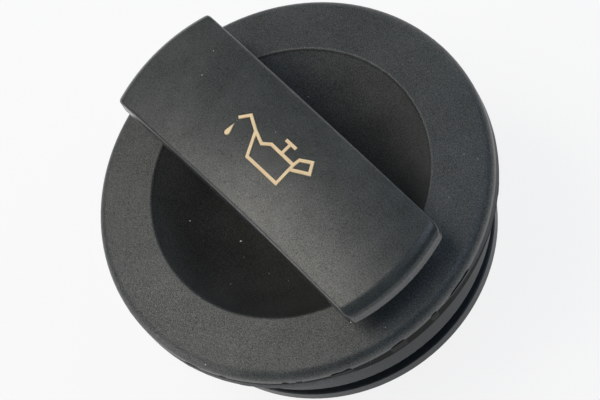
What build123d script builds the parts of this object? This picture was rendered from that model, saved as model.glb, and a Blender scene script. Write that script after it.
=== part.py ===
from build123d import *
import math
import os

# Oil filler cap, in millimetres.
# The origin is on the cap's axis, on the plane where the gasket meets the filler neck.
# +Z points up out of the engine, and +X runs along the grip.

# Heights, stacked upwards from the sealing plane
GASKET_HEIGHT = 6.9
COLLAR_HEIGHT = 12.7
BASE_RIM_THICKNESS = 2.3
FLANGE_THICKNESS = 4.3
GRIP_STAND = 13.25

# Radii, stacked outwards from the neck that enters the engine
NECK_RADIUS = 22.0
GASKET_WIDTH = 8.65
COLLAR_REACH = 0.9
FLANGE_REACH = 4.45

# Flange, bowl and skirt of the top shell
FLANGE_WIDTH = 10.5
FLANGE_DOME_RADIUS = 168.0
FLANGE_EDGE_FILLET = 2.0
BOWL_RIM_FILLET = 0.6
BOWL_CLEARANCE = 1.7
SHELL_WALL = 2.5
SKIRT_WALL = 2.0
SKIRT_DEPTH = 3.0
SKIRT_CLEARANCE = 0.15

# Grip plate and the hollow web that carries it
GRIP_END_SETBACK = 2.75
GRIP_WIDTH = 21.6
GRIP_THICKNESS = 4.8
GRIP_DOME_RADIUS = 130.0
GRIP_CORNER_RADIUS = 1.8
GRIP_SIDE_DRAFT_DEGREES = 2.5
GRIP_END_ROLL = 3.0
GRIP_ROLL_REACH = 0.1
GRIP_TOP_FILLET = 0.6
GRIP_LOWER_FILLET = 1.2
GRIP_SKIN = 2.2
SIDE_OVERHANG = 2.8
END_OVERHANG = 4.0
WEB_WALL = 2.4
WEB_CORNER_RADIUS = 2.6
WEB_ROOT_FILLET = 0.6
HOLLOW_CORNER_RADIUS = 1.2
FRAME_WALL = 1.6
FRAME_DEPTH = 3.0
FRAME_CLEARANCE = 0.12

# Base: rim, collar, bottom plate and neck
BASE_RIM_SETBACK = 0.1
COLLAR_WALL = 2.5
COLLAR_EDGE_FILLET = 0.25
RIM_ROOT_FILLET = 0.8
PLATE_THICKNESS = 2.5
NECK_WALL = 2.5
NECK_LENGTH = 14.0
NECK_MOUTH_CHAMFER = 0.6
PILOT_STEP = 0.4
GASKET_GROOVE_DEPTH = 0.5

# Bayonet lugs with helical ramps
LUG_COUNT = 2
LUG_REACH = 4.0
LUG_SPAN_DEGREES = 50.0
LUG_LOW_THICKNESS = 2.4
LUG_RAMP_RISE = 1.6
LUG_TOP_DEPTH = 5.2
LUG_CORNER_RADIUS = 1.5
LUG_FIRST_AZIMUTH = 90.0

# Gasket
GASKET_CLEARANCE = 0.15
SEAT_SETBACK = 1.5
SEAT_THICKNESS = 1.4
WAIST_DEPTH = 3.9
WAIST_TAPER = 0.8
LIP_THICKNESS = 2.4
LIP_EDGE_FILLET = 0.3
LIP_FACE_WIDTH = 5.0
LIP_RELIEF = 0.8

# Heights that follow
plate_bottom = GASKET_HEIGHT
plate_top = plate_bottom + PLATE_THICKNESS
rim_bottom = plate_bottom + COLLAR_HEIGHT
weld_height = rim_bottom + BASE_RIM_THICKNESS
bowl_rim_height = weld_height + FLANGE_THICKNESS
grip_crown = bowl_rim_height + GRIP_STAND
bowl_floor = plate_top + BOWL_CLEARANCE + SHELL_WALL
ramp_low = -LUG_TOP_DEPTH - LUG_RAMP_RISE
lug_bottom = ramp_low - LUG_LOW_THICKNESS

# Radii that follow
lip_radius = NECK_RADIUS + GASKET_WIDTH
collar_radius = lip_radius + COLLAR_REACH
collar_inner = collar_radius - COLLAR_WALL
flange_radius = collar_radius + FLANGE_REACH
bowl_rim_radius = flange_radius - FLANGE_WIDTH
grip_end_radius = flange_radius - GRIP_END_SETBACK

# Sphere of the bowl, through its rim and its floor
bowl_depth = bowl_rim_height - bowl_floor
bowl_sphere_radius = (bowl_rim_radius**2 + bowl_depth**2) / (2 * bowl_depth)
bowl_center = bowl_floor + bowl_sphere_radius


def axial_arc(center, radius, start, end, side):
    """Arc about (0, center) in a half profile, between two distances from the axis.

    A side of 1 is the part of the circle above its centre, and -1 the part below.
    """
    distances = (start, (start + end) / 2, end)
    return ThreePointArc(*[(d, center + side * math.sqrt(radius**2 - d**2)) for d in distances])


def turned(profile):
    """Revolve a half profile, drawn as distance from the axis and height, about the cap's axis."""
    return revolve(Plane.XZ * profile, Axis.Z)


def fillet_corner(profile, corner, radius):
    """Round the corner of a profile that lies nearest to a point."""
    nearest = min(profile.vertices(), key=lambda vertex: (vertex.center() - Vector(corner)).length)
    return fillet(nearest, radius)


def grip_plan(side_inset, end_inset, corner_radius):
    """Plan set in from the grip's: straight sides, ends concentric with the cap, rounded corners."""
    strip = Rectangle(2 * flange_radius, GRIP_WIDTH - 2 * side_inset)
    strip &= Circle(grip_end_radius - end_inset)
    return fillet(strip.vertices(), corner_radius)


def hollow_plan(clearance):
    """Plan of the hollow inside the web, or of what fits in it with a clearance."""
    inset = WEB_WALL + clearance
    return grip_plan(SIDE_OVERHANG + inset, END_OVERHANG + inset, HOLLOW_CORNER_RADIUS)


def grip_ball(depth):
    """Ball whose top is the grip's domed face, or lies a depth below it."""
    center = Pos(0, 0, grip_crown - GRIP_DOME_RADIUS)
    return center * Rot(X=90) * Sphere(GRIP_DOME_RADIUS - depth)


def grip_block():
    """Block of the grip: sides that flare downwards, ends concentric with the cap, rounded corners."""
    strip = Pos(0, 0, grip_crown) * Rot(X=180) * Rectangle(2 * flange_radius, GRIP_WIDTH)
    flared = extrude(strip, GRIP_STAND, taper=-GRIP_SIDE_DRAFT_DEGREES)
    block = flared & extrude(Circle(grip_end_radius), grip_crown)
    corners = block.edges().filter_by(lambda edge: abs((edge % 0.5).Z) > 0.5)
    return fillet(corners, GRIP_CORNER_RADIUS)


def grip_roll():
    """Turned form of the grip's top: the dome, which rolls down towards the ends."""
    rim = grip_end_radius + GRIP_ROLL_REACH
    dome = axial_arc(grip_crown - GRIP_DOME_RADIUS, GRIP_DOME_RADIUS, 0, rim, 1)
    profile = make_face([dome, Polyline(dome @ 1, (rim, 0), (0, 0), dome @ 0)])
    return turned(fillet_corner(profile, dome @ 1, GRIP_END_ROLL))


def domed_faces(piece):
    """Spherical faces of a piece, lowest first."""
    return piece.faces().filter_by(GeomType.SPHERE).sort_by(Axis.Z)


def grip_plate():
    """Domed slab with an overhanging edge, cored below, and the frame that plugs into the web."""
    block = grip_block()
    roll = grip_roll()
    slab = block & roll
    slab = fillet(new_edges(block, roll, combined=slab), GRIP_TOP_FILLET)
    slab = slab - grip_ball(GRIP_THICKNESS)
    slab = fillet(domed_faces(slab)[0].edges(), GRIP_LOWER_FILLET)

    frame = extrude(hollow_plan(FRAME_CLEARANCE), grip_crown) & grip_ball(GRIP_SKIN)
    frame = frame - grip_ball(GRIP_THICKNESS + FRAME_DEPTH)
    core = extrude(hollow_plan(FRAME_CLEARANCE + FRAME_WALL), grip_crown) & grip_ball(GRIP_SKIN)
    return slab + frame - core


def top_shell():
    """Domed flange, dished bowl, hollow web of the grip and the skirt that centres the base."""
    under_radius = bowl_sphere_radius + SHELL_WALL
    under_end = math.sqrt(under_radius**2 - (bowl_center - weld_height) ** 2)
    underside = axial_arc(bowl_center, under_radius, 0, under_end, -1)
    bowl = axial_arc(bowl_center, bowl_sphere_radius, 0, bowl_rim_radius, -1)
    dome_center = bowl_rim_height - math.sqrt(FLANGE_DOME_RADIUS**2 - bowl_rim_radius**2)
    dome = axial_arc(dome_center, FLANGE_DOME_RADIUS, bowl_rim_radius, flange_radius, 1)

    skirt_outer = collar_inner - SKIRT_CLEARANCE
    skirt_inner = skirt_outer - SKIRT_WALL
    skirt_bottom = weld_height - SKIRT_DEPTH
    lower_side = Polyline(
        dome @ 1,
        (flange_radius, weld_height),
        (skirt_outer, weld_height),
        (skirt_outer, skirt_bottom),
        (skirt_inner, skirt_bottom),
        (skirt_inner, weld_height),
        underside @ 1,
    )
    profile = make_face([bowl, dome, lower_side, underside, Line(underside @ 0, bowl @ 0)])
    profile = fillet_corner(profile, dome @ 1, FLANGE_EDGE_FILLET)
    profile = fillet_corner(profile, dome @ 0, BOWL_RIM_FILLET)
    shell = turned(profile)

    below = Polyline(underside @ 1, (flange_radius, weld_height), (flange_radius, 0), (0, 0), underside @ 0)
    space_below = turned(make_face([underside, below]))
    web = extrude(grip_plan(SIDE_OVERHANG, END_OVERHANG, WEB_CORNER_RADIUS), grip_crown)
    web = (web & grip_ball(GRIP_THICKNESS)) - space_below
    joined = shell + web
    joined = fillet(new_edges(shell, web, combined=joined), WEB_ROOT_FILLET)
    return joined - extrude(hollow_plan(0), grip_crown)


def lug():
    """Bayonet lug on the +X side: flat below, with a ramp above that rises as a right-hand thread does."""
    root = NECK_RADIUS - NECK_WALL / 2
    tip = NECK_RADIUS + LUG_REACH
    height = LUG_LOW_THICKNESS + LUG_RAMP_RISE
    section = Pos((root + tip) / 2, lug_bottom + height / 2) * Rectangle(tip - root, height)
    block = revolve(Plane.XZ * section, Axis.Z, LUG_SPAN_DEGREES)
    outer_corners = block.edges().filter_by(Axis.Z).sort_by(SortBy.DISTANCE)[-2:]
    block = fillet(outer_corners, LUG_CORNER_RADIUS)

    pitch = LUG_RAMP_RISE * 360 / LUG_SPAN_DEGREES
    path = Helix(pitch, LUG_RAMP_RISE, tip, center=(0, 0, ramp_low))
    start = Plane(origin=path @ 0, x_dir=(1, 0, 0), z_dir=(0, -1, 0))
    above_ramp = sweep(start * Pos(0, height / 2) * Rectangle(2 * (tip - root), height), path, is_frenet=True)
    return Rot(Z=-LUG_SPAN_DEGREES / 2) * (block - above_ramp)


def bayonet_base():
    """Rim, collar, bottom plate and hollow neck in one moulding, with the lugs on the neck."""
    rim_radius = flange_radius - BASE_RIM_SETBACK
    neck_inner = NECK_RADIUS - NECK_WALL
    pilot_radius = NECK_RADIUS - PILOT_STEP
    groove_radius = NECK_RADIUS - GASKET_GROOVE_DEPTH
    groove_bottom = LIP_RELIEF - GASKET_CLEARANCE
    outline = [
        (0, plate_top),
        (collar_inner, plate_top),
        (collar_inner, weld_height),
        (rim_radius, weld_height),
        (rim_radius, rim_bottom),
        (collar_radius, rim_bottom),
        (collar_radius, plate_bottom),
        (groove_radius, plate_bottom),
        (groove_radius, groove_bottom),
        (NECK_RADIUS, groove_bottom),
        (NECK_RADIUS, lug_bottom),
        (pilot_radius, lug_bottom),
        (pilot_radius, -NECK_LENGTH),
        (neck_inner, -NECK_LENGTH),
        (neck_inner, plate_bottom),
        (0, plate_bottom),
    ]
    profile = make_face(Polyline(*outline, close=True))
    profile = fillet_corner(profile, (collar_radius, rim_bottom), RIM_ROOT_FILLET)
    profile = fillet_corner(profile, (collar_radius, plate_bottom), COLLAR_EDGE_FILLET)
    base = turned(profile)
    mouth = base.edges().filter_by(GeomType.CIRCLE).group_by(Axis.Z)[0]
    base = chamfer(mouth, NECK_MOUTH_CHAMFER)
    for index in range(LUG_COUNT):
        base = base + Rot(Z=LUG_FIRST_AZIMUTH + index * 360 / LUG_COUNT) * lug()
    return base


def gasket():
    """Rubber ring in the groove of the neck: a seat flange, a waist and a flared lip with a flat face."""
    bore = NECK_RADIUS - GASKET_GROOVE_DEPTH + GASKET_CLEARANCE
    seat_radius = lip_radius - SEAT_SETBACK
    seat_bottom = plate_bottom - SEAT_THICKNESS
    waist_radius = lip_radius - WAIST_DEPTH
    face_inner = lip_radius - LIP_FACE_WIDTH
    outline = [
        (bore, plate_bottom),
        (seat_radius, plate_bottom),
        (seat_radius, seat_bottom),
        (waist_radius, seat_bottom - WAIST_TAPER),
        (waist_radius, LIP_THICKNESS + WAIST_TAPER),
        (lip_radius, LIP_THICKNESS),
        (lip_radius, 0),
        (face_inner, 0),
        (face_inner - LIP_RELIEF, LIP_RELIEF),
        (bore, LIP_RELIEF),
    ]
    profile = make_face(Polyline(*outline, close=True))
    profile = fillet_corner(profile, (lip_radius, LIP_THICKNESS), LIP_EDGE_FILLET)
    profile = fillet_corner(profile, (lip_radius, 0), LIP_EDGE_FILLET)
    return turned(profile)


os.makedirs("parts", exist_ok=True)
for make_piece in (grip_plate, top_shell, bayonet_base, gasket):
    export_step(make_piece(), f"parts/{make_piece.__name__}.step")
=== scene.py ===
import math
import random

import bmesh
import bpy
from mathutils import Matrix, Vector, noise


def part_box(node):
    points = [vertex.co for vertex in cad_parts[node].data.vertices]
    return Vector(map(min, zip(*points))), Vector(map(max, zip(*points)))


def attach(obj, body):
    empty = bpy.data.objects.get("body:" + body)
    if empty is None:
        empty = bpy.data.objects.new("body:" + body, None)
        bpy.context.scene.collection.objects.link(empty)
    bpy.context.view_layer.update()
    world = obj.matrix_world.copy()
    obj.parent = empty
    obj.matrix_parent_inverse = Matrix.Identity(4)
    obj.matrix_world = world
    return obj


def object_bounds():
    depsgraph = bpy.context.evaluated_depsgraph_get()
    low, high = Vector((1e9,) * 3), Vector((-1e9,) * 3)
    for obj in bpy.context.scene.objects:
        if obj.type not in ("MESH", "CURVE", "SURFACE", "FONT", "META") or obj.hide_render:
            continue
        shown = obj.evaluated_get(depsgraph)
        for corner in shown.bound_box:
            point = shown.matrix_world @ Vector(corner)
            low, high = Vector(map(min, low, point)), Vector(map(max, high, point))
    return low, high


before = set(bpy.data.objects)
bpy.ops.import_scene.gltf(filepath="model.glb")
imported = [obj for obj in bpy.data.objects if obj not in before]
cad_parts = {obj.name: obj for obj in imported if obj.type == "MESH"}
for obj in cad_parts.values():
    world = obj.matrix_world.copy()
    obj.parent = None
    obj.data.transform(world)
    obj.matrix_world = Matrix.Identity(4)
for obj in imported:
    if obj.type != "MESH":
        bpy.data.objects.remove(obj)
cad_low, cad_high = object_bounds()
MM = 0.001

# Camera, as fitted to the photograph: it looks down the near end of the grip, and is rolled
IMAGE_WIDTH_PX = 600
IMAGE_HEIGHT_PX = 400
SENSOR_WIDTH_MM = 36.0
FOCAL_LENGTH_PX = 4321.0
CAMERA_AZIMUTH = math.radians(-8.67)
CAMERA_ELEVATION = math.radians(60.85)
CAMERA_ROLL = math.radians(-37.0)
CAMERA_DISTANCE = 0.75
CAMERA_TARGET = Vector((4.08, -1.13, 26.2)) * MM
CAMERA_CLIP_START = 0.01

# Soft boxes: direction in degrees, side in metres, power in watts, colour
WARM = (1.0, 0.96, 0.87)
PLAIN = (1.0, 0.96, 0.93)
COOL = (0.66, 0.76, 1.0)
LIGHTS = {
    "far_key": (194, 66, 0.20, 0.61, WARM),
    "top_key": (214, 79, 0.22, 0.35, WARM),
    "top_left": (270, 78, 0.30, 0.93, WARM),
    "rim_left": (262, 52, 0.12, 0.12, WARM),
    "far_mid": (187, 47, 0.16, 0.11, WARM),
    "left_far": (205, 48, 0.25, 0.90, WARM),
    "left_wide": (250, 60, 0.30, 0.55, WARM),
    "left_low": (255, 14, 0.40, 1.86, PLAIN),
    "front_left": (300, 18, 0.35, 0.10, PLAIN),
    "right_front": (40, 40, 0.30, 0.36, COOL),
    "right_high": (60, 50, 0.40, 0.86, COOL),
    "right_top": (90, 60, 0.30, 0.12, COOL),
    "back_low": (125, 26, 0.45, 0.80, PLAIN),
    "far_low": (180, 28, 0.40, 0.25, WARM),
}
LIGHT_DISTANCE = 0.8
LIGHT_TARGET = Vector((0.0, 0.0, 0.02))
WORLD_COLOR = (0.050, 0.105, 0.130, 1.0)

# Floor: its disc in metres, its paint, and how far it shows as plain white to the camera and in reflections
FLOOR_RADIUS = 1.2
FLOOR_SEGMENTS = 96
FLOOR_COLOR = (0.85, 0.85, 0.85, 1.0)
FLOOR_WHITE_SEEN = 0.85
WHITE = (1.0, 1.0, 1.0, 1.0)
FLOOR_WHITE_RAYS = ("Is Glossy Ray", "Is Transmission Ray")

# Faces of the CAD nodes that pieces sit on
GRIP_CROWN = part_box("grip_plate")[1].z
GRIP_DOME_RADIUS = 130.0 * MM
RIM_RADIUS, SEAM_HEIGHT = (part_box("bayonet_base")[1].x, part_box("bayonet_base")[1].z)

# Noise of the surfaces, and the part of its range that goes from the dark colour to the light one
NOISE_DETAIL = 3.0
GRAIN_FALLOFF = 0.6
MOTTLE_FALLOFF = 0.55
GRAIN_SPAN = (0.40, 0.74)

# Colours of the base's plastic, which the plain sides of the flash share
BASE_DARK = (0.018, 0.023, 0.027)
BASE_LIGHT = (0.030, 0.037, 0.043)

# Painted light and shade in the bowl: colour darker near a spot, paler away from it; the spot, distances
# from it, and shares of the colour there
BOWL_RIM_RADIUS = 25.2 * MM
BOWL_RIM_BLUR = 0.1 * MM
BOWL_PAINTED_SHADE_SPOT = (4.0 * MM, -4.0 * MM, 0.0)
BOWL_PAINTED_SHADE_REACH = (20.0 * MM, 30.5 * MM)
BOWL_SHADES = (0.80, 2.1)

# Sign on the grip, in millimetres from the cap's axis, along the grip and across it
SIGN_STROKE = 0.70
SIGN_BEVEL = 0.07
SIGN_HEIGHT = 0.22
SIGN_ROOT = 0.2
SIGN_STEP = 1.0
SPOUT_TIP = (-8.78, 0.97)
SPOUT_BEND = (-7.30, 2.71)
SPOUT_JUNCTION = (-4.33, 1.25)
CAN_SHOULDER = (-1.69, 0.31)
CAN_STEP = (-0.24, 1.39)
CAN_TOP_RIGHT = (5.63, 1.34)
CAN_BASE_RIGHT = (5.81, -2.99)
CAN_BASE_LEFT = (-1.94, -2.99)
FILLER_FOOT = (2.46, 1.39)
FILLER_HEAD = (2.44, 3.64)
FILLER_BAR_LEFT = (1.17, 3.67)
FILLER_BAR_RIGHT = (3.82, 3.70)
HANDLE_LOWER = (5.76, 0.35)
HANDLE_UPPER = (5.80, 2.69)
HANDLE_TOP = (7.85, 3.90)
HANDLE_END = (9.01, 2.11)
DROP_TIP = (-8.55, -0.06)
DROP_CENTER = (-8.29, -2.22)
DROP_RADIUS = 0.58
DROP_SEGMENTS = 24

# Flash of the welded seam on the base's rim, in millimetres
RIM_HEIGHT = 2.3
FLASH_SEGMENTS = 1400
FLASH_START = -math.pi / 3
FLASH_ROOT = 0.25
FLASH_ROOT_BELOW_SEAM = 0.15
FLASH_ROOT_ABOVE_FOOT = 0.12
FLASH_SKIN = 0.03
FLASH_LIP = 0.14
FLASH_LIP_ABOVE_SEAM = 0.02
FLASH_LIP_BELOW_SEAM = 0.10

# Nubs of the flash at the seam, its fringe at the rim's foot, and the dark band between them, which is
# rough flash with painted shade: lengths and heights in millimetres, seeds of the noise, and thresholds
# that the noise has to pass to show
NUB_LENGTH, NUB_SEED, NUB_THRESHOLD = (1.9, 1.5, 0.12)
NUB_REACH = 1.5
NUB_HEIGHT = 1.3
FRINGE_LENGTH, FRINGE_SEED, FRINGE_THRESHOLD = (1.3, 7.5, 0.05)
FRINGE_OUTER_ABOVE_FOOT, FRINGE_OUTER_HEIGHT = (0.03, 0.3)
FRINGE_INNER_BELOW_FOOT, FRINGE_INNER_HEIGHT = (0.04, 0.5)
FRINGE_INSET = 0.04
BAND_EDGE_LENGTH, BAND_EDGE_SEED, BAND_EDGE_HEIGHT = (0.9, 4.5, 0.12)
BAND_BELOW_SEAM = 0.12
BAND_ABOVE_FOOT = 0.06
BAND_TOP_DROP_SHARE = 0.8
BAND_HEIGHT_SHARE = 0.32

# Sides of the flash's outline that are plain, and angles over which the band's top and foot sink and return
FLASH_PLAIN_CORNERS = (2, 4)
FLASH_TOP_SINKS = (math.radians(-5), math.radians(35))
FLASH_TOP_RETURNS = (math.radians(200), math.radians(280))
FLASH_FOOT_SINKS = (math.radians(-38), math.radians(-12))
FLASH_FOOT_RETURNS = (math.radians(230), math.radians(300))

# Dust: pixel of the photograph that each speck is seen at, and its size in millimetres
DUST = {
    "bowl_left": ((190, 221), 0.32),
    "bowl_near_bar": ((241, 241.2), 0.46),
    "grip_far_corner": ((202, 75), 0.17),
    "grip_near_end": ((350.8, 322.2), 0.24),
    "flange_near": ((385.4, 327.3), 0.17),
    "flange_edge_near": ((370.5, 361.6), 0.13),
    "flange_left": ((205.6, 364.6), 0.20),
    "grip_spout": ((237, 120), 0.08),
    "grip_filler": ((275.5, 132), 0.09),
    "grip_can": ((259, 162), 0.08),
    "grip_base": ((291, 185), 0.08),
    "grip_far_edge": ((213.7, 50.6), 0.10),
    "bowl_beside_bar": ((308.2, 96.7), 0.22),
    "bowl_near_a": ((269, 273.5), 0.17),
    "bowl_near_b": ((288.5, 280.6), 0.17),
    "bowl_near_c": ((244, 257.2), 0.17),
    "bowl_near_d": ((230.7, 283.9), 0.17),
    "flange_right_a": ((464, 154), 0.13),
    "flange_right_b": ((478, 159), 0.13),
    "flange_right_c": ((449, 197), 0.12),
}
DUST_SEED = 4
DUST_WIDTH_SHARES = (0.5, 1.0)
DUST_HEIGHT_SHARE = 1 / 3
DUST_SUBDIVISIONS = 2


def socket_values(node, values):
    """Set a shader node's input sockets by name or number."""
    for name, value in values.items():
        node.inputs[name].default_value = value


def shader_node(tree, kind, values=None):
    """Add a shader node and set its inputs."""
    node = tree.nodes.new(kind)
    socket_values(node, values or {})
    return node


def measure_node(tree, operation, vector, other=None):
    """Add a vector node that works on a vector and, where it is given, a fixed one."""
    node = tree.nodes.new("ShaderNodeVectorMath")
    node.operation = operation
    tree.links.new(vector, node.inputs[0])
    if other is not None:
        node.inputs[1].default_value = other
    return node


def range_node(tree, value, source, target):
    """Add a node that maps a value from one range to another, and stops at its ends."""
    limits = {"From Min": source[0], "From Max": source[1], "To Min": target[0], "To Max": target[1]}
    node = shader_node(tree, "ShaderNodeMapRange", limits)
    tree.links.new(value, node.inputs["Value"])
    return node


def paint_bowl_light_and_shade(tree, place, ramp, shader):
    """Painted light and shade in the bowl: its colour darker near a spot and paler away from it, and the
    flange left as it is.
    """
    flat = measure_node(tree, "MULTIPLY", place.outputs["Object"], (1.0, 1.0, 0.0))
    from_spot = measure_node(tree, "DISTANCE", flat.outputs["Vector"], BOWL_PAINTED_SHADE_SPOT)
    from_axis = measure_node(tree, "LENGTH", flat.outputs["Vector"])
    painted_level = range_node(tree, from_spot.outputs["Value"], BOWL_PAINTED_SHADE_REACH, BOWL_SHADES)
    edge = (BOWL_RIM_RADIUS - BOWL_RIM_BLUR, BOWL_RIM_RADIUS + BOWL_RIM_BLUR)
    outside = range_node(tree, from_axis.outputs["Value"], edge, (0.0, 1.0))
    share = shader_node(tree, "ShaderNodeMix", {"B": 1.0})
    tree.links.new(outside.outputs["Result"], share.inputs["Factor"])
    tree.links.new(painted_level.outputs["Result"], share.inputs["A"])
    shade = measure_node(tree, "SCALE", ramp.outputs["Color"])
    tree.links.new(share.outputs["Result"], shade.inputs["Scale"])
    tree.links.new(shade.outputs["Vector"], shader.inputs["Base Color"])


def noise_node(tree, place, size, falloff):
    """Add a noise with a size in millimetres."""
    values = {"Scale": 1 / (size * MM), "Detail": NOISE_DETAIL, "Roughness": falloff}
    node = shader_node(tree, "ShaderNodeTexNoise", values)
    tree.links.new(place.outputs["Object"], node.inputs["Vector"])
    return node


def surface_material(name, dark, light, roughness, grain_size, grain_height, mottle_size, grain_share,
                     gleams=None, bowl_painted_shading=False):
    """Surface coloured by a fine grain and a slow mottling, with gloss and relief from the grain.

    Sizes and heights are in millimetres.
    """
    material = bpy.data.materials.new(name)
    material.use_nodes = True
    tree = material.node_tree
    shader = tree.nodes["Principled BSDF"]
    place = tree.nodes.new("ShaderNodeTexCoord")
    grain = noise_node(tree, place, grain_size, GRAIN_FALLOFF)
    mottle = noise_node(tree, place, mottle_size, MOTTLE_FALLOFF)

    blend = shader_node(tree, "ShaderNodeMix", {"Factor": grain_share})
    tree.links.new(mottle.outputs["Fac"], blend.inputs["A"])
    tree.links.new(grain.outputs["Fac"], blend.inputs["B"])
    ramp = tree.nodes.new("ShaderNodeValToRGB")
    for stop, position, color in zip(ramp.color_ramp.elements, GRAIN_SPAN, (dark, light)):
        stop.position = position
        stop.color = (*color, 1.0)
    tree.links.new(blend.outputs["Result"], ramp.inputs["Fac"])
    tree.links.new(ramp.outputs["Color"], shader.inputs["Base Color"])
    # Bowl only: painted light and shade in the colour
    if bowl_painted_shading:
        paint_bowl_light_and_shade(tree, place, ramp, shader)

    gloss = range_node(tree, grain.outputs["Fac"], GRAIN_SPAN, roughness)
    tree.links.new(gloss.outputs["Result"], shader.inputs["Roughness"])
    if gleams:
        gleam = range_node(tree, grain.outputs["Fac"], GRAIN_SPAN, gleams)
        tree.links.new(gleam.outputs["Result"], shader.inputs["Specular IOR Level"])
    bump = shader_node(tree, "ShaderNodeBump", {"Strength": 1.0, "Distance": grain_height * MM})
    tree.links.new(grain.outputs["Fac"], bump.inputs["Height"])
    tree.links.new(bump.outputs["Normal"], shader.inputs["Normal"])
    return material


def new_object(name, mesh):
    """Turn an edited mesh into an object in the scene."""
    data = bpy.data.meshes.new(name)
    mesh.to_mesh(data)
    mesh.free()
    made = bpy.data.objects.new(name, data)
    bpy.context.scene.collection.objects.link(made)
    return made


def dress_nodes():
    """Give every CAD node its own procedural material."""
    grip = surface_material(
        "grip_grained_plastic",
        dark=(0.028, 0.0283, 0.0282),
        light=(0.090, 0.0908, 0.0903),
        roughness=(0.24, 0.25),
        grain_size=0.18,
        grain_height=0.016,
        mottle_size=6,
        grain_share=0.75,
        gleams=(0.32, 0.95),
    )
    shell = surface_material(
        "shell_grained_plastic",
        dark=(0.024, 0.0243, 0.0242),
        light=(0.106, 0.107, 0.1065),
        roughness=(0.36, 0.32),
        grain_size=0.18,
        grain_height=0.068,
        mottle_size=7,
        grain_share=0.8,
        gleams=(0.32, 0.95),
        # painted light and shade in the bowl's colour
        bowl_painted_shading=True,
    )
    base = surface_material(
        "base_smooth_plastic",
        dark=BASE_DARK,
        light=BASE_LIGHT,
        roughness=(0.29, 0.36),
        grain_size=0.25,
        grain_height=0.006,
        mottle_size=5,
        grain_share=0.6,
        gleams=(0.18, 0.28),
    )
    rubber = surface_material(
        "gasket_rubber",
        dark=(0.026, 0.0285, 0.0305),
        light=(0.036, 0.039, 0.042),
        roughness=(0.32, 0.40),
        grain_size=0.7,
        grain_height=0.004,
        mottle_size=4,
        grain_share=0.3,
        gleams=(0.28, 0.34),
    )
    finishes = {"grip_plate": grip, "top_shell": shell, "bayonet_base": base, "gasket": rubber}
    for name, material in finishes.items():
        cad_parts[name].material_slots[0].material = material


def grip_height(x, y):
    """Height of the grip's domed face over a point, in metres."""
    return GRIP_CROWN - GRIP_DOME_RADIUS + math.sqrt(GRIP_DOME_RADIUS**2 - x * x - y * y)


def stroke_sides(points, half_width):
    """Left and right border of a line of points, with mitred corners."""
    left, right = [], []
    for index, point in enumerate(points):
        before = points[max(index - 1, 0)]
        after = points[min(index + 1, len(points) - 1)]
        along_in = (point - before).normalized() if index else (after - point).normalized()
        along_out = (after - point).normalized() if index < len(points) - 1 else along_in
        across_in = Vector((-along_in.y, along_in.x))
        across_out = Vector((-along_out.y, along_out.x))
        miter = (across_in + across_out).normalized()
        reach = half_width / miter.dot(across_in)
        left.append(point + miter * reach)
        right.append(point - miter * reach)
    return left, right


def divided(points, step):
    """The same line with extra points, so that it can follow the dome."""
    line = [Vector(points[0])]
    for start, end in zip(points, points[1:]):
        start, end = Vector(start), Vector(end)
        count = max(1, math.ceil((end - start).length / step))
        line += [start.lerp(end, (index + 1) / count) for index in range(count)]
    return line


def prism(name, lower, upper, bottom, top):
    """Closed solid between a lower and an upper outline with as many points, in millimetres."""
    mesh = bmesh.new()
    low = [mesh.verts.new((p.x, p.y, bottom)) for p in lower]
    high = [mesh.verts.new((p.x, p.y, top)) for p in upper]
    mesh.faces.new(list(reversed(low)))
    mesh.faces.new(high)
    for index in range(len(low)):
        following = (index + 1) % len(low)
        mesh.faces.new((low[index], low[following], high[following], high[index]))
    bmesh.ops.recalc_face_normals(mesh, faces=mesh.faces)
    return new_object(name, mesh)


def stroke(name, points):
    """One raised line of the sign, with sloping sides."""
    line = divided(points, SIGN_STEP)
    outlines = []
    for half_width in (SIGN_STROKE / 2, SIGN_STROKE / 2 - SIGN_BEVEL):
        left, right = stroke_sides(line, half_width)
        outlines.append(right + list(reversed(left)))
    return prism(name, *outlines, -SIGN_ROOT, SIGN_HEIGHT)


def drop(name):
    """The falling drop: a round end and a straight taper to its tip."""
    tip, center = Vector(DROP_TIP), Vector(DROP_CENTER)
    outlines = []
    for inset in (0.0, SIGN_BEVEL):
        radius = DROP_RADIUS - inset
        axis = (tip - center).normalized()
        point = tip - axis * inset * (tip - center).length / DROP_RADIUS
        half_turn = math.acos(radius / (point - center).length)
        start = math.atan2(axis.y, axis.x) + half_turn
        sweep = 2 * (math.pi - half_turn)
        arc = [start + sweep * index / DROP_SEGMENTS for index in range(DROP_SEGMENTS + 1)]
        outlines.append([point] + [center + radius * Vector((math.cos(a), math.sin(a))) for a in arc])
    return prism(name, *outlines, -SIGN_ROOT, SIGN_HEIGHT)


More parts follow.
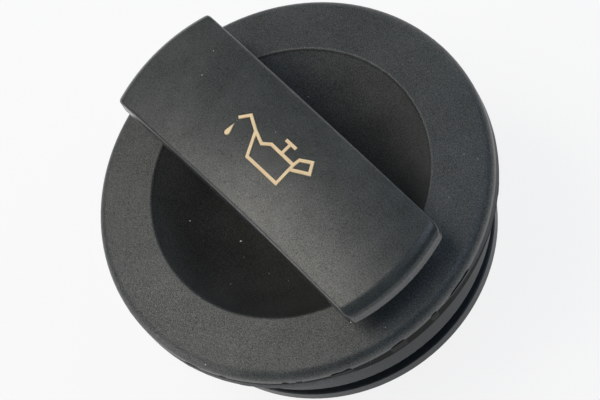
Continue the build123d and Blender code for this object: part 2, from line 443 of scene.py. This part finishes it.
def oil_can_sign():
    """Raised sign of an oil can with a drop, joined to one solid and laid on the grip's dome."""
    lines = [
        [SPOUT_TIP, SPOUT_BEND, SPOUT_JUNCTION, CAN_SHOULDER, CAN_STEP, CAN_TOP_RIGHT],
        [SPOUT_JUNCTION, CAN_BASE_LEFT, CAN_BASE_RIGHT, CAN_TOP_RIGHT],
        [FILLER_FOOT, FILLER_HEAD],
        [FILLER_BAR_LEFT, FILLER_BAR_RIGHT],
        [CAN_TOP_RIGHT, HANDLE_UPPER, HANDLE_TOP, HANDLE_END, HANDLE_LOWER],
    ]
    solids = [stroke(f"sign_line_{index}", points) for index, points in enumerate(lines)]
    solids.append(drop("sign_drop"))
    whole = solids[0]
    for solid in solids[1:]:
        union = whole.modifiers.new("join", "BOOLEAN")
        union.operation = "UNION"
        union.solver = "EXACT"
        union.object = solid
    graph = bpy.context.evaluated_depsgraph_get()
    data = bpy.data.meshes.new_from_object(whole.evaluated_get(graph))
    for solid in solids:
        bpy.data.objects.remove(solid)
    for vertex in data.vertices:
        x, y, z = vertex.co * MM
        vertex.co = (x, y, grip_height(x, y) + z)
    sign = bpy.data.objects.new("oil_can_sign", data)
    bpy.context.scene.collection.objects.link(sign)
    sign.data.materials.clear()
    sign.data.materials.append(
        surface_material(
            "sign_gold_print",
            dark=(0.88, 0.62, 0.36),
            light=(0.97, 0.74, 0.45),
            roughness=(0.38, 0.5),
            grain_size=0.3,
            grain_height=0.008,
            mottle_size=2,
            grain_share=0.45,
        )
    )
    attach(sign, "root")


def ragged(angle, length, seed):
    """Random value round the rim that changes over a length in millimetres, about -1 to 1."""
    radius = RIM_RADIUS / MM / length
    return noise.noise(Vector((radius * math.cos(angle), radius * math.sin(angle), seed)))


def smooth_share(value, span):
    """Smooth rise from 0 to 1 over a span."""
    share = min(1.0, max(0.0, (value - span[0]) / (span[1] - span[0])))
    return share * share * (3 - 2 * share)


def flash_profile(angle):
    """Flash's outline at an angle round the rim: distances from the axis and heights, in millimetres."""
    rim, seam = RIM_RADIUS / MM, SEAM_HEIGHT / MM
    foot = seam - RIM_HEIGHT
    top_sink = smooth_share(angle, FLASH_TOP_SINKS) - smooth_share(angle, FLASH_TOP_RETURNS)
    foot_sink = smooth_share(angle, FLASH_FOOT_SINKS) - smooth_share(angle, FLASH_FOOT_RETURNS)
    nub = max(0.0, ragged(angle, NUB_LENGTH, NUB_SEED) - NUB_THRESHOLD) * (1 - top_sink)
    fringe = max(0.0, ragged(angle, FRINGE_LENGTH, FRINGE_SEED) - FRINGE_THRESHOLD)
    rough = BAND_EDGE_HEIGHT * ragged(angle, BAND_EDGE_LENGTH, BAND_EDGE_SEED)
    band_share = BAND_HEIGHT_SHARE + (1 - BAND_HEIGHT_SHARE) * foot_sink
    band_top = min(seam - BAND_BELOW_SEAM, seam - BAND_TOP_DROP_SHARE * RIM_HEIGHT * top_sink + rough)
    band_foot = max(foot + BAND_ABOVE_FOOT, seam - RIM_HEIGHT * band_share + rough)
    lip = FLASH_SKIN + min(FLASH_LIP - FLASH_SKIN, NUB_REACH * nub)
    return [
        (rim - FLASH_ROOT, seam - FLASH_ROOT_BELOW_SEAM),
        (rim + lip, seam + FLASH_LIP_ABOVE_SEAM + NUB_HEIGHT * nub),
        (rim + lip, seam - FLASH_LIP_BELOW_SEAM),
        (rim + FLASH_SKIN, band_top),
        (rim + FLASH_SKIN, band_foot),
        (rim + FLASH_SKIN, foot + FRINGE_OUTER_ABOVE_FOOT - FRINGE_OUTER_HEIGHT * fringe),
        (rim - FRINGE_INSET, foot - FRINGE_INNER_BELOW_FOOT - FRINGE_INNER_HEIGHT * fringe),
        (rim - FLASH_ROOT, foot + FLASH_ROOT_ABOVE_FOOT),
    ]


def weld_flash():
    """Ragged plastic squeezed out of the weld: a dark band of rough flash and painted shade that sinks from
    the seam to the rim's foot.
    """
    mesh = bmesh.new()
    rings = []
    for index in range(FLASH_SEGMENTS):
        angle = 2 * math.pi * index / FLASH_SEGMENTS + FLASH_START
        across, along = math.cos(angle) * MM, math.sin(angle) * MM
        rings.append([mesh.verts.new((r * across, r * along, z * MM)) for r, z in flash_profile(angle)])
    for index, ring in enumerate(rings):
        following = rings[(index + 1) % FLASH_SEGMENTS]
        for corner in range(len(ring)):
            after = (corner + 1) % len(ring)
            face = mesh.faces.new((ring[corner], ring[after], following[after], following[corner]))
            face.material_index = 0 if corner in FLASH_PLAIN_CORNERS else 1
    bmesh.ops.recalc_face_normals(mesh, faces=mesh.faces)
    flash = new_object("weld_flash", mesh)
    flash.data.shade_smooth()
    for name, dark, light, gleams in (
        ("flash_plain", BASE_DARK, BASE_LIGHT, (0.20, 0.26)),
        # dark band: rough flash with painted shade in its colour
        ("flash_band_and_painted_shade", (0.003, 0.003, 0.0032), (0.010, 0.010, 0.0105), (0.06, 0.09)),
    ):
        flash.data.materials.append(
            surface_material(
                name,
                dark,
                light,
                roughness=(0.45, 0.65),
                grain_size=0.3,
                grain_height=0.02,
                mottle_size=2,
                grain_share=0.45,
                gleams=gleams,
            )
        )
    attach(flash, "root")


def dust_specks():
    """Pale specks of dust, each half sunk in the surface that the camera sees at its pixel."""
    draw = random.Random(DUST_SEED)
    away, right, up = camera_axes()
    eye = CAMERA_TARGET + away * CAMERA_DISTANCE
    graph = bpy.context.evaluated_depsgraph_get()
    mesh = bmesh.new()
    for (pixel_x, pixel_y), size in DUST.values():
        offset = right * (pixel_x - IMAGE_WIDTH_PX / 2) - up * (pixel_y - IMAGE_HEIGHT_PX / 2)
        ray = (offset - away * FOCAL_LENGTH_PX).normalized()
        place, normal = bpy.context.scene.ray_cast(graph, eye, ray)[1:3]
        spin = Matrix.Rotation(draw.uniform(0, math.pi), 4, "Z")
        half = size * MM / 2
        shape = Matrix.Diagonal(
            (half, half * draw.uniform(*DUST_WIDTH_SHARES), size * MM * DUST_HEIGHT_SHARE, 1.0)
        )
        stand = normal.to_track_quat("Z", "Y").to_matrix().to_4x4()
        matrix = Matrix.Translation(place) @ stand @ spin @ shape
        bmesh.ops.create_icosphere(mesh, subdivisions=DUST_SUBDIVISIONS, radius=1.0, matrix=matrix)
    dust = new_object("dust_specks", mesh)
    dust.data.shade_smooth()
    dust.data.materials.append(
        surface_material(
            "dust_pale",
            dark=(0.78, 0.79, 0.80),
            light=(0.92, 0.93, 0.94),
            roughness=(0.7, 0.9),
            grain_size=0.1,
            grain_height=0.004,
            mottle_size=0.3,
            grain_share=0.35,
        )
    )
    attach(dust, "root")


def floor():
    """Pale floor that keeps the shadow, and shows as white to the camera and in reflections."""
    mesh = bmesh.new()
    bmesh.ops.create_circle(mesh, cap_ends=True, segments=FLOOR_SEGMENTS, radius=FLOOR_RADIUS)
    plane = new_object("floor", mesh)
    plane.location.z = cad_low.z
    material = bpy.data.materials.new("floor_white")
    material.use_nodes = True
    tree = material.node_tree
    tree.nodes.remove(tree.nodes["Principled BSDF"])
    paint = shader_node(tree, "ShaderNodeBsdfDiffuse", {"Color": FLOOR_COLOR})
    white = shader_node(tree, "ShaderNodeEmission", {"Color": WHITE, "Strength": 1.0})
    path = tree.nodes.new("ShaderNodeLightPath")
    rays = path.outputs["Is Camera Ray"]
    for kind in FLOOR_WHITE_RAYS:
        either = tree.nodes.new("ShaderNodeMath")
        either.operation = "MAXIMUM"
        tree.links.new(rays, either.inputs[0])
        tree.links.new(path.outputs[kind], either.inputs[1])
        rays = either.outputs["Value"]
    seen = shader_node(tree, "ShaderNodeMath", {1: FLOOR_WHITE_SEEN})
    seen.operation = "MULTIPLY"
    tree.links.new(rays, seen.inputs[0])
    shown = tree.nodes.new("ShaderNodeMixShader")
    tree.links.new(seen.outputs["Value"], shown.inputs["Fac"])
    tree.links.new(paint.outputs["BSDF"], shown.inputs[1])
    tree.links.new(white.outputs["Emission"], shown.inputs[2])
    tree.links.new(shown.outputs["Shader"], tree.nodes["Material Output"].inputs["Surface"])
    plane.data.materials.append(material)


def direction(azimuth, elevation):
    """Unit vector towards an azimuth, counted from +X to +Y, and an elevation, in radians."""
    level = math.cos(elevation)
    return Vector((level * math.cos(azimuth), level * math.sin(azimuth), math.sin(elevation)))


def soft_boxes():
    """Square area lights round the object, and a dim even world."""
    for name, (azimuth, elevation, side, power, color) in LIGHTS.items():
        light = bpy.data.lights.new(name, "AREA")
        light.shape = "SQUARE"
        light.size = side
        light.energy = power
        light.color = color
        lamp = bpy.data.objects.new(name, light)
        away = direction(math.radians(azimuth), math.radians(elevation))
        lamp.location = LIGHT_TARGET + away * LIGHT_DISTANCE
        lamp.rotation_euler = away.to_track_quat("Z", "Y").to_euler()
        bpy.context.scene.collection.objects.link(lamp)
    world = bpy.data.worlds.new("studio")
    world.use_nodes = True
    world.node_tree.nodes["Background"].inputs["Color"].default_value = WORLD_COLOR
    bpy.context.scene.world = world


def camera_axes():
    """Directions away from the view, to the picture's right and to its top."""
    away = direction(CAMERA_AZIMUTH, CAMERA_ELEVATION)
    level_right = Vector((0, 0, 1)).cross(away).normalized()
    level_up = away.cross(level_right)
    right = level_right * math.cos(CAMERA_ROLL) + level_up * math.sin(CAMERA_ROLL)
    return away, right, away.cross(right)


def photo_camera():
    """Camera at the photograph's viewing angle."""
    away, right, up = camera_axes()
    turn = Matrix((right, up, away)).transposed()
    data = bpy.data.cameras.new("photo_camera")
    data.sensor_width = SENSOR_WIDTH_MM
    data.lens = FOCAL_LENGTH_PX * SENSOR_WIDTH_MM / IMAGE_WIDTH_PX
    data.clip_start = CAMERA_CLIP_START
    camera = bpy.data.objects.new("photo_camera", data)
    camera.matrix_world = Matrix.Translation(CAMERA_TARGET + away * CAMERA_DISTANCE) @ turn.to_4x4()
    bpy.context.scene.collection.objects.link(camera)
    bpy.context.scene.camera = camera


dress_nodes()
oil_can_sign()
weld_flash()
dust_specks()
floor()
soft_boxes()
photo_camera()
bpy.context.scene.view_settings.view_transform = "Standard"
